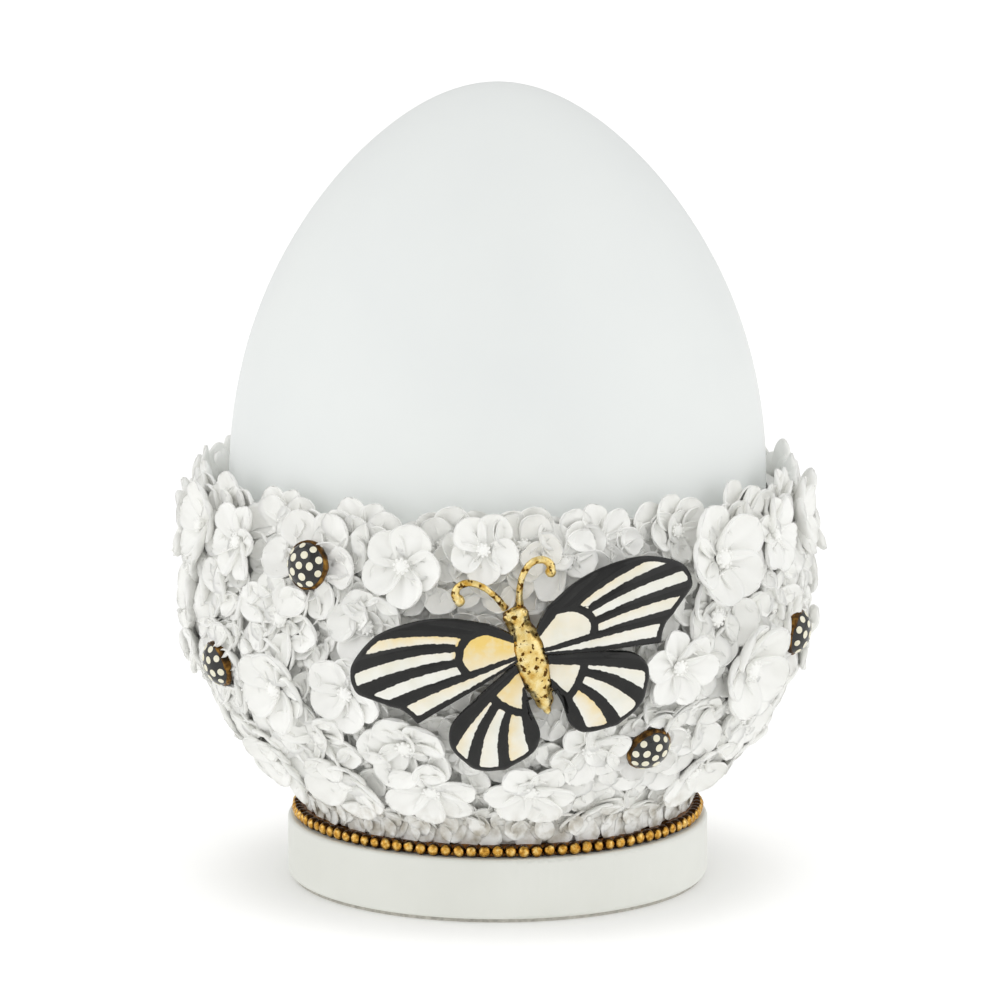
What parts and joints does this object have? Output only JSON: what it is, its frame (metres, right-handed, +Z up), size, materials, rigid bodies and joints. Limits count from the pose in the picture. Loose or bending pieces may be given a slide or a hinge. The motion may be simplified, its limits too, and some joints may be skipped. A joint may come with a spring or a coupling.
{
  "type": "illuminated egg",
  "caption": "Battery-lit opal glass egg in a bowl of white blossoms, with an enamelled butterfly, domed studs and a beaded trim on a round plinth.",
  "frame": {"origin": "on the table under the centre of the plinth", "axes": "+Z up through the egg, -Y towards the butterfly at the front, +X to its right as seen"},
  "size_m": [0.1832, 0.1846, 0.228],
  "materials": {
    "painted_plinth": "satin white paint over cast resin",
    "felt": "pressed wool felt",
    "brown_gilt": "brown-washed gilt",
    "antique_gold": "antique gold beads with brown recesses",
    "white_resin": "cast resin painted white, satin",
    "stud_enamel": "black enamel with ivory dots and a bronze rim, gloss",
    "gold_leaf": "pitted gold leaf over cast metal",
    "wing_enamel": "black and ivory enamel, gloss",
    "opal_glass": "frosted opal glass",
    "silicone": "soft silicone",
    "white_plastic": "moulded white plastic",
    "steel": "plated steel",
    "circuit_board": "glass-filled board",
    "lamp_resin": "clear lamp resin",
    "black_rubber": "rubber",
    "battery_case": "wrapped steel can",
    "black_plastic": "moulded black plastic",
    "lead_insulation": "insulated leads"
  },
  "bodies": {
    "base": {"plinth": "painted_plinth", "foot_felt": "felt", "trim_band": "brown_gilt", "trim_beads": "antique_gold", "flower_bowl": "white_resin", "crown_blossoms": "white_resin", "rim_blossoms": "white_resin", "shoulder_blossoms": "white_resin", "middle_blossoms": "white_resin", "waist_blossoms": "white_resin", "lower_blossoms": "white_resin", "foot_blossoms": "white_resin", "dome_studs": "stud_enamel", "butterfly_body": "gold_leaf", "butterfly_antennae": "gold_leaf", "right_forewing": "wing_enamel", "right_hindwing": "wing_enamel", "left_forewing": "wing_enamel", "left_hindwing": "wing_enamel", "shade_gasket": "silicone", "shade_seat": "white_plastic", "seat_screws": "steel", "lamp_carrier": "white_plastic", "carrier_screws": "steel", "lamp_board": "circuit_board", "board_screws": "steel", "lamps": "lamp_resin", "lead_grommet": "black_rubber", "bowl_screws": "steel", "base_cover": "white_plastic", "cover_screws": "steel", "batteries": "battery_case", "battery_springs": "steel", "battery_contacts": "steel", "switch_body": "black_plastic", "lamp_leads": "lead_insulation", "battery_lead": "lead_insulation"},
    "shade": {"egg_shade": "opal_glass"},
    "door": {"battery_door": "white_plastic", "door_screw": "steel"},
    "slider": {"switch_slider": "black_plastic"}
  },
  "joints": [
    {"name": "shade_lift", "type": "slide", "parent": "base", "child": "shade", "axis": [0, 0, 1], "range_m": [0, 0.13]},
    {"name": "battery_door_hinge", "type": "hinge", "parent": "base", "child": "door", "pos_m": [0, -0.03219, 0.00454], "axis": [-1, 0, 0], "range_deg": [0, 100]},
    {"name": "switch_slide", "type": "slide", "parent": "base", "child": "slider", "axis": [0, 1, 0], "range_m": [0, 0.0035]}
  ]
}
